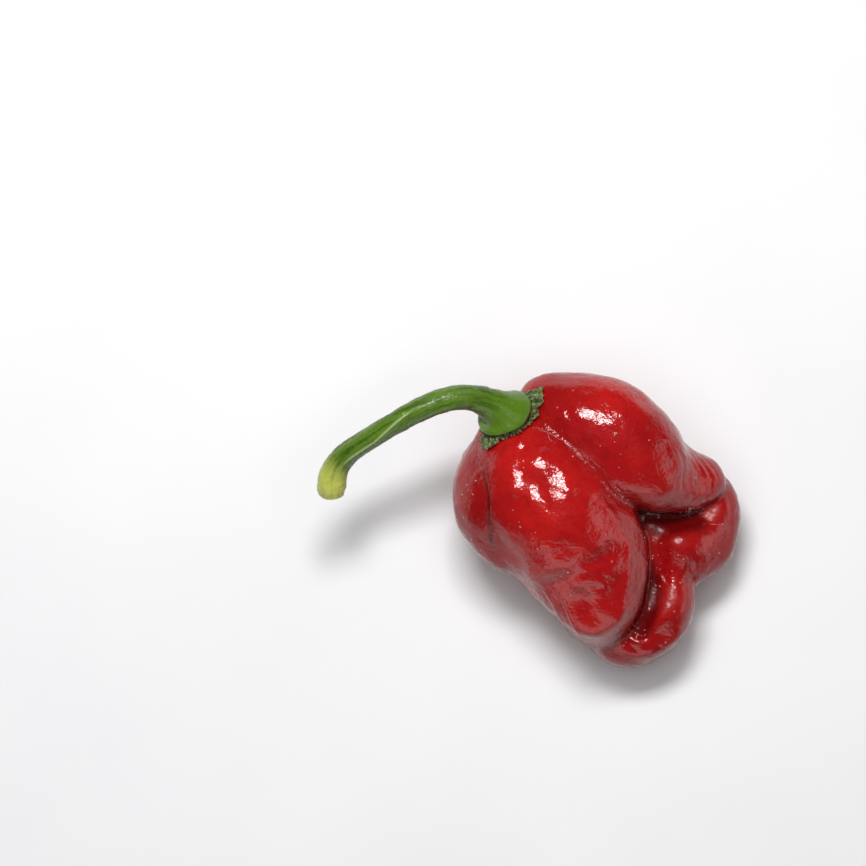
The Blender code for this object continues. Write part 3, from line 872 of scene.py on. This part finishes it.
def build_stem(settings):
    """The stalk: ridged rings carried along its path, then the bell's rings, closed under the calyx."""
    around = settings.around
    angle = full_turn(around)
    path = smooth_path(STEM_PATH, settings.along)
    line, radius = path[:, :3], path[:, 3]
    tangent, first, second = turning_frame(line)
    along = np.concatenate([[0], np.cumsum(np.linalg.norm(np.diff(line, axis=0), axis=1))])
    ridge = ridge_height(angle[None], along[:, None])
    fade = np.clip(np.minimum((along - 3.0) / 4.0, (along[-1] - 4.0 - along) / 6.0), 0, 1)[:, None]
    ring = spokes(angle, first[:, None], second[:, None])
    size = radius[:, None] * (1.01 + 0.10 * fade * (ridge - 0.3))
    stalk = line[:, None] + size[..., None] * ring
    rough = ripples(stalk.reshape(-1, 3), STALK_RIPPLES)
    stalk = stalk + rough.reshape(size.shape)[..., None] * ring
    cap_share = np.array(CUT_END_RINGS)[:, None, None]
    cap = line[0] - 0.35 * np.sqrt(1 - cap_share**2) * tangent[0] + cap_share * (stalk[0] - line[0])
    pole = np.tile(line[0] - 0.3 * tangent[0], (1, around, 1))
    facing, up, side = calyx_axes()
    profile = smooth_path(BELL_PROFILE, BELL_ROWS)
    spread = spokes(angle, up, side)
    bell = CALYX_MIDDLE + profile[:, 0, None, None] * facing + profile[:, 1, None, None] * spread
    lobed = 1 + 0.012 * np.cos(5 * angle + 0.6)[None, :, None]
    bell = CALYX_MIDDLE + (bell - CALYX_MIDDLE) * lobed
    for row, least in zip(bell, profile[:, 2]):
        low = skin_distance(row)[0] < least
        row[low] = settle(row[low], 3, least)
    middle = CALYX_MIDDLE + BELL_UNDER * facing
    under = [settle(middle + radius * spread, 6, BELL_UNDER) for radius in (3.6, 2.4, 1.2)]
    end = np.tile(settle(middle[None], 6, BELL_UNDER), (1, around, 1))
    grid = np.concatenate([pole, cap, stalk, bell, np.array(under), end])
    before = len(pole) + len(cap)
    upper, lower = before + len(stalk) - JOINT_ABOVE, before + len(stalk) + JOINT_BELOW
    for _ in range(JOINT_ROUNDS):
        part = grid[upper - 1:lower + 1]
        grid[upper:lower] = 0.5 * part[1:-1] + 0.25 * (part[:-2] + part[2:])
    ends = (before, len(grid) - before - len(stalk))
    values = {
        "ridge": np.pad(ridge * fade, (ends, (0, 0))),
        "round": np.tile(angle * 3.2, (len(grid), 1)),
        "along": np.pad(along * 0.16, ends, mode="edge"),
        "cut_end": np.pad(np.clip(1.25 - along / 6.5, 0, 1), ends, mode="edge"),
        "scar": np.pad(CUT_END_SCAR, (0, len(grid) - before)),
        "bell": np.pad(np.clip((along - along[-1]) / 5.0 + 1, 0, 1), ends, mode="edge"),
    }
    return closed_mesh("green_stalk", grid, values)


def calyx_reach(angle):
    """How far the calyx edge reaches at each angle: where the view shows it, and a plain radius behind."""
    _, up, side = calyx_axes()
    off = seen_on_skin(CALYX_EDGE, 0.9) - CALYX_MIDDLE
    off = off @ side, off @ up
    seen, far = np.arctan2(*off), np.hypot(*off)
    order = np.argsort(seen)
    seen, far = seen[order], far[order]
    back = np.linspace(seen[-1] + 0.35, seen[0] + 2 * np.pi - 0.35, 8)
    knots = np.concatenate([seen, back])
    reach = np.concatenate([far, np.full(8, CALYX_BACK_RADIUS)])
    turn = (angle - knots[0]) % (2 * np.pi) + knots[0]
    return np.interp(turn, np.append(knots, knots[0] + 2 * np.pi), np.append(reach, reach[0]))


def build_calyx(settings):
    """The ragged edge: a thick torn sheet over the skin, from under the bell to its rim and back below."""
    angle = full_turn(settings.around)
    facing, up, side = calyx_axes()
    spread = spokes(angle, up, side)
    torn = sum(height * np.sin(count * angle + phase) for height, count, phase in CALYX_TEETH)
    torn += 0.10 * np.sin(61 * angle + 0.7) * np.sin(5 * angle)
    reach = calyx_reach(angle) + torn
    fold = 0.5 + 0.5 * np.sin(23 * angle + 1.5 * np.sin(4 * angle))
    rings = []
    for share, height in CALYX_PROFILE:
        radius = CALYX_INNER_RADIUS + share * (reach - CALYX_INNER_RADIUS)
        ring = CALYX_MIDDLE + facing + radius[:, None] * spread
        rough = ripples(ring, CALYX_RIPPLES) + 0.35 * share * (fold - 0.6)
        rings.append(settle(ring, 6, np.maximum(height + rough * (height > 0.45), 0.12)))
    grid = np.array(rings)
    rows, columns = grid.shape[:2]
    faces = grid_faces(rows + 1, columns) % (rows * columns)    # the last ring joins the first
    mesh = smooth_mesh("calyx_edge", grid.reshape(-1, 3), faces.tolist())
    add_attribute(mesh, "rim", np.repeat([share for share, _ in CALYX_PROFILE], columns))
    return mesh


def build_scar():
    """Dried blossom remains in the cleft: short curled fibres that start on the skin."""
    chance = np.random.default_rng(31)
    count = SCAR_FIBRES
    pixels = np.column_stack([chance.normal(*place, count) for place in zip(SCAR_PLACE, SCAR_SPREAD)])
    root = seen_on_skin(pixels)
    out = outward(root)
    lean = chance.normal(size=(count, 3)) * 0.8
    curl = chance.normal(size=(count, 3)) * 0.7
    length = chance.uniform(0.2, 0.6, count)[:, None, None]
    t = np.linspace(0, 1, FIBRE_STEPS)[None, :, None]
    lines = root[:, None] - 0.1 * out[:, None] + length * (t * (out + lean)[:, None] + t**2 * curl[:, None])
    radii = np.tile(np.linspace(0.07, 0.03, FIBRE_STEPS), (count, 1))
    return tube_mesh("blossom_scar", lines, radii, 5)


def build_flecks():
    """Pale corky specks: low rounded blobs half sunk in the skin, thicker in the saddle and the valley."""
    chance = np.random.default_rng(41)
    pixels = [chance.normal(middle, spread, (count, 2)) for middle, spread, count in FLECK_GROUPS]
    middle = seen_on_skin(np.vstack(pixels))
    middle = middle[middle[:, 2] > FLECK_LOWEST]
    size = chance.uniform(0.05, 0.13, len(middle))[:, None, None]
    t = np.array(FLECK_HEIGHTS)
    lines = middle[:, None] + size * 0.5 * t[None, :, None] * outward(middle)[:, None]
    radii = size[..., 0] * np.sqrt(np.maximum(1 - np.clip(t, 0, 1)**2, 0.02))[None]
    return tube_mesh("skin_flecks", lines, radii, 8)


def build_scratches():
    """Fine pale healed scratches: thin raised lines that lie along the skin."""
    lines = np.array([seen_on_skin(smooth_path(path, SCRATCH_STEPS), 0.02) for path in SCRATCHES])
    lift = skin_detail(lines.reshape(-1, 3)).reshape(lines.shape[:2])
    slope = skin_distance(lines.reshape(-1, 3))[1].reshape(lines.shape)
    lines = lines + lift[..., None] * slope
    radii = np.tile(0.02 + 0.04 * np.sin(np.linspace(0, np.pi, SCRATCH_STEPS)), (len(SCRATCHES), 1))
    return tube_mesh("skin_scratches", lines, radii, 6)


# Stage

def add_area(name, place, size, power, glossy, diffuse):
    """Area light at a place in mm, turned to the pepper."""
    light = bpy.data.lights.new(name, "AREA")
    light.shape = "RECTANGLE"
    light.size, light.size_y = size[0] * MM, size[1] * MM
    light.energy = power
    thing = bpy.data.objects.new(name, light)
    bpy.context.scene.collection.objects.link(thing)
    back = unit(np.subtract(place, PEPPER_MIDDLE))
    side = unit(np.cross((0.0, 0.0, 1.0), back))
    matrix = np.eye(4)
    matrix[:3] = np.column_stack([side, np.cross(back, side), back, np.multiply(place, MM)])
    thing.matrix_world = matrix.T.tolist()
    thing.visible_glossy = glossy
    thing.visible_diffuse = diffuse
    thing.visible_camera = False


def build_stage(settings):
    """Floor, lights, dim room and the camera straight above."""
    scene = bpy.context.scene
    half = settings.floor_size / 2
    mesh = bpy.data.meshes.new("table_top")
    corners = [(-half, -half, 0), (half, -half, 0), (half, half, 0), (-half, half, 0)]
    mesh.from_pydata(corners, [], [(0, 1, 2, 3)])
    mesh.materials.append(plain_look("white_table"))
    floor = bpy.data.objects.new("table_top", mesh)
    scene.collection.objects.link(floor)
    for name, (place, size, key, share, glossy, diffuse) in LIGHTS.items():
        add_area(name, place, size, share * getattr(settings, key), glossy, diffuse)
    world = bpy.data.worlds.new("dim_room")
    scene.world = world
    world.use_nodes = True
    background = world.node_tree.nodes["Background"]
    background.inputs["Color"].default_value = (0.93, 0.95, 1.0, 1.0)
    background.inputs["Strength"].default_value = settings.room_light
    camera = bpy.data.cameras.new("view_from_above")
    camera.sensor_width = SENSOR
    camera.lens = SENSOR * (CAMERA_HEIGHT - VIEW_HEIGHT) / (FRAME_SIZE * PIXEL)
    thing = bpy.data.objects.new("view_from_above", camera)
    place = np.array((*VIEW_MIDDLE, CAMERA_HEIGHT)) + MOVE
    thing.location = (place * MM).tolist()
    scene.collection.objects.link(thing)
    scene.camera = thing
    scene.view_settings.view_transform = "Standard"


# Settings, operators and panel

class PodSettings(PropertyGroup):
    around: IntProperty(name="Around", description="Coarse points round the pod", default=88, min=24)
    along: IntProperty(name="Along", description="Coarse rings from stem to blossom end", default=50, min=16)
    finer: IntProperty(
        name="Finer", description="How many times finer the skin is than the coarse points", default=4, min=1)
    gloss_roughness: FloatProperty(
        name="Gloss roughness", description="Roughness of the waxy skin",
        default=0.13, min=0.02, max=1.0, subtype="FACTOR")
    skin_colour: FloatVectorProperty(
        name="Skin colour", description="Red of the ripe skin",
        subtype="COLOR", default=(0.37, 0.0045, 0.006))


class StemSettings(PropertyGroup):
    around: IntProperty(name="Around", description="Points round the stalk", default=144, min=24)
    along: IntProperty(name="Along", description="Rings along the stalk", default=240, min=30)
    stalk_colour: FloatVectorProperty(
        name="Stalk colour", description="Green of the stalk", subtype="COLOR", default=(0.085, 0.175, 0.008))


class CalyxSettings(PropertyGroup):
    around: IntProperty(name="Around", description="Points round the calyx edge", default=420, min=48)
    stalk_colour: FloatVectorProperty(
        name="Calyx colour", description="Green of the calyx", subtype="COLOR", default=(0.095, 0.145, 0.03))


class StageSettings(PropertyGroup):
    floor_size: FloatProperty(
        name="Floor size", description="Side of the square floor", default=4.0, min=0.5, unit="LENGTH")
    window_power: FloatProperty(
        name="Window power", description="Power of the window light", default=2.9, min=0.0, unit="POWER")
    card_power: FloatProperty(
        name="Card power", description="Light thrown back by the white cards",
        default=1.0, min=0.0, unit="POWER")
    fill_power: FloatProperty(
        name="Fill power", description="Power of the soft light from above",
        default=4.0, min=0.0, unit="POWER")
    room_light: FloatProperty(
        name="Room light", description="Brightness of the room round the table", default=0.07, min=0.0)


class PEPPER_OT_pod(Operator):
    """Build the pod's red skin"""
    bl_idname = "pepper.pod"
    bl_label = "Pod skin"

    def execute(self, context):
        settings = context.scene.pepper_pod
        add_piece(build_pod(settings), red_skin(settings), "pod")
        return {"FINISHED"}


class PEPPER_OT_stem(Operator):
    """Build the green stalk with its bell"""
    bl_idname = "pepper.stem"
    bl_label = "Stalk"

    def execute(self, context):
        settings = context.scene.pepper_stem
        add_piece(build_stem(settings), green_stalk(settings), "stem")
        return {"FINISHED"}


class PEPPER_OT_calyx(Operator):
    """Build the ragged edge of the calyx"""
    bl_idname = "pepper.calyx"
    bl_label = "Calyx edge"

    def execute(self, context):
        settings = context.scene.pepper_calyx
        add_piece(build_calyx(settings), rough_calyx(settings))
        return {"FINISHED"}


class PEPPER_OT_marks(Operator):
    """Build the blossom scar, the flecks and the scratches on the skin"""
    bl_idname = "pepper.marks"
    bl_label = "Skin marks"

    def execute(self, context):
        add_piece(build_scar(), plain_look("dry_fibre"))
        add_piece(build_flecks(), plain_look("pale_speck"))
        add_piece(build_scratches(), plain_look("healed_scratch"))
        return {"FINISHED"}


class PEPPER_OT_stage(Operator):
    """Build the table, the lights and the camera"""
    bl_idname = "pepper.stage"
    bl_label = "Stage"

    def execute(self, context):
        build_stage(context.scene.pepper_stage)
        return {"FINISHED"}


class PEPPER_PT_panel(Panel):
    """Lists the operators with their settings"""
    bl_label = "Scotch bonnet pepper"
    bl_idname = "PEPPER_PT_panel"
    bl_space_type = "VIEW_3D"
    bl_region_type = "UI"
    bl_category = "Pepper"

    def draw(self, context):
        scene = context.scene
        for name in SETTINGS:
            box = self.layout.box()
            settings = getattr(scene, name)
            for key in settings.bl_rna.properties.keys():
                if key not in {"rna_type", "name"}:
                    box.prop(settings, key)
            box.operator(name.replace("_", "."))
        self.layout.operator("pepper.marks")


SETTINGS = {
    "pepper_pod": PodSettings, "pepper_stem": StemSettings,
    "pepper_calyx": CalyxSettings, "pepper_stage": StageSettings,
}
CLASSES = (*SETTINGS.values(), PEPPER_OT_pod, PEPPER_OT_stem, PEPPER_OT_calyx, PEPPER_OT_marks,
           PEPPER_OT_stage, PEPPER_PT_panel)


def register():
    """Register the classes and give the scene its settings."""
    for cls in CLASSES:
        bpy.utils.register_class(cls)
    for name, cls in SETTINGS.items():
        setattr(bpy.types.Scene, name, PointerProperty(type=cls))


def unregister():
    """Undo register."""
    for name in SETTINGS:
        delattr(bpy.types.Scene, name)
    for cls in reversed(CLASSES):
        bpy.utils.unregister_class(cls)


def main():
    """Build every piece in order."""
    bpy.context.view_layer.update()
    register()
    bpy.ops.pepper.pod()
    bpy.ops.pepper.stem()
    bpy.ops.pepper.calyx()
    bpy.ops.pepper.marks()
    bpy.ops.pepper.stage()
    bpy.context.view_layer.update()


if __name__ == "__main__":
    main()
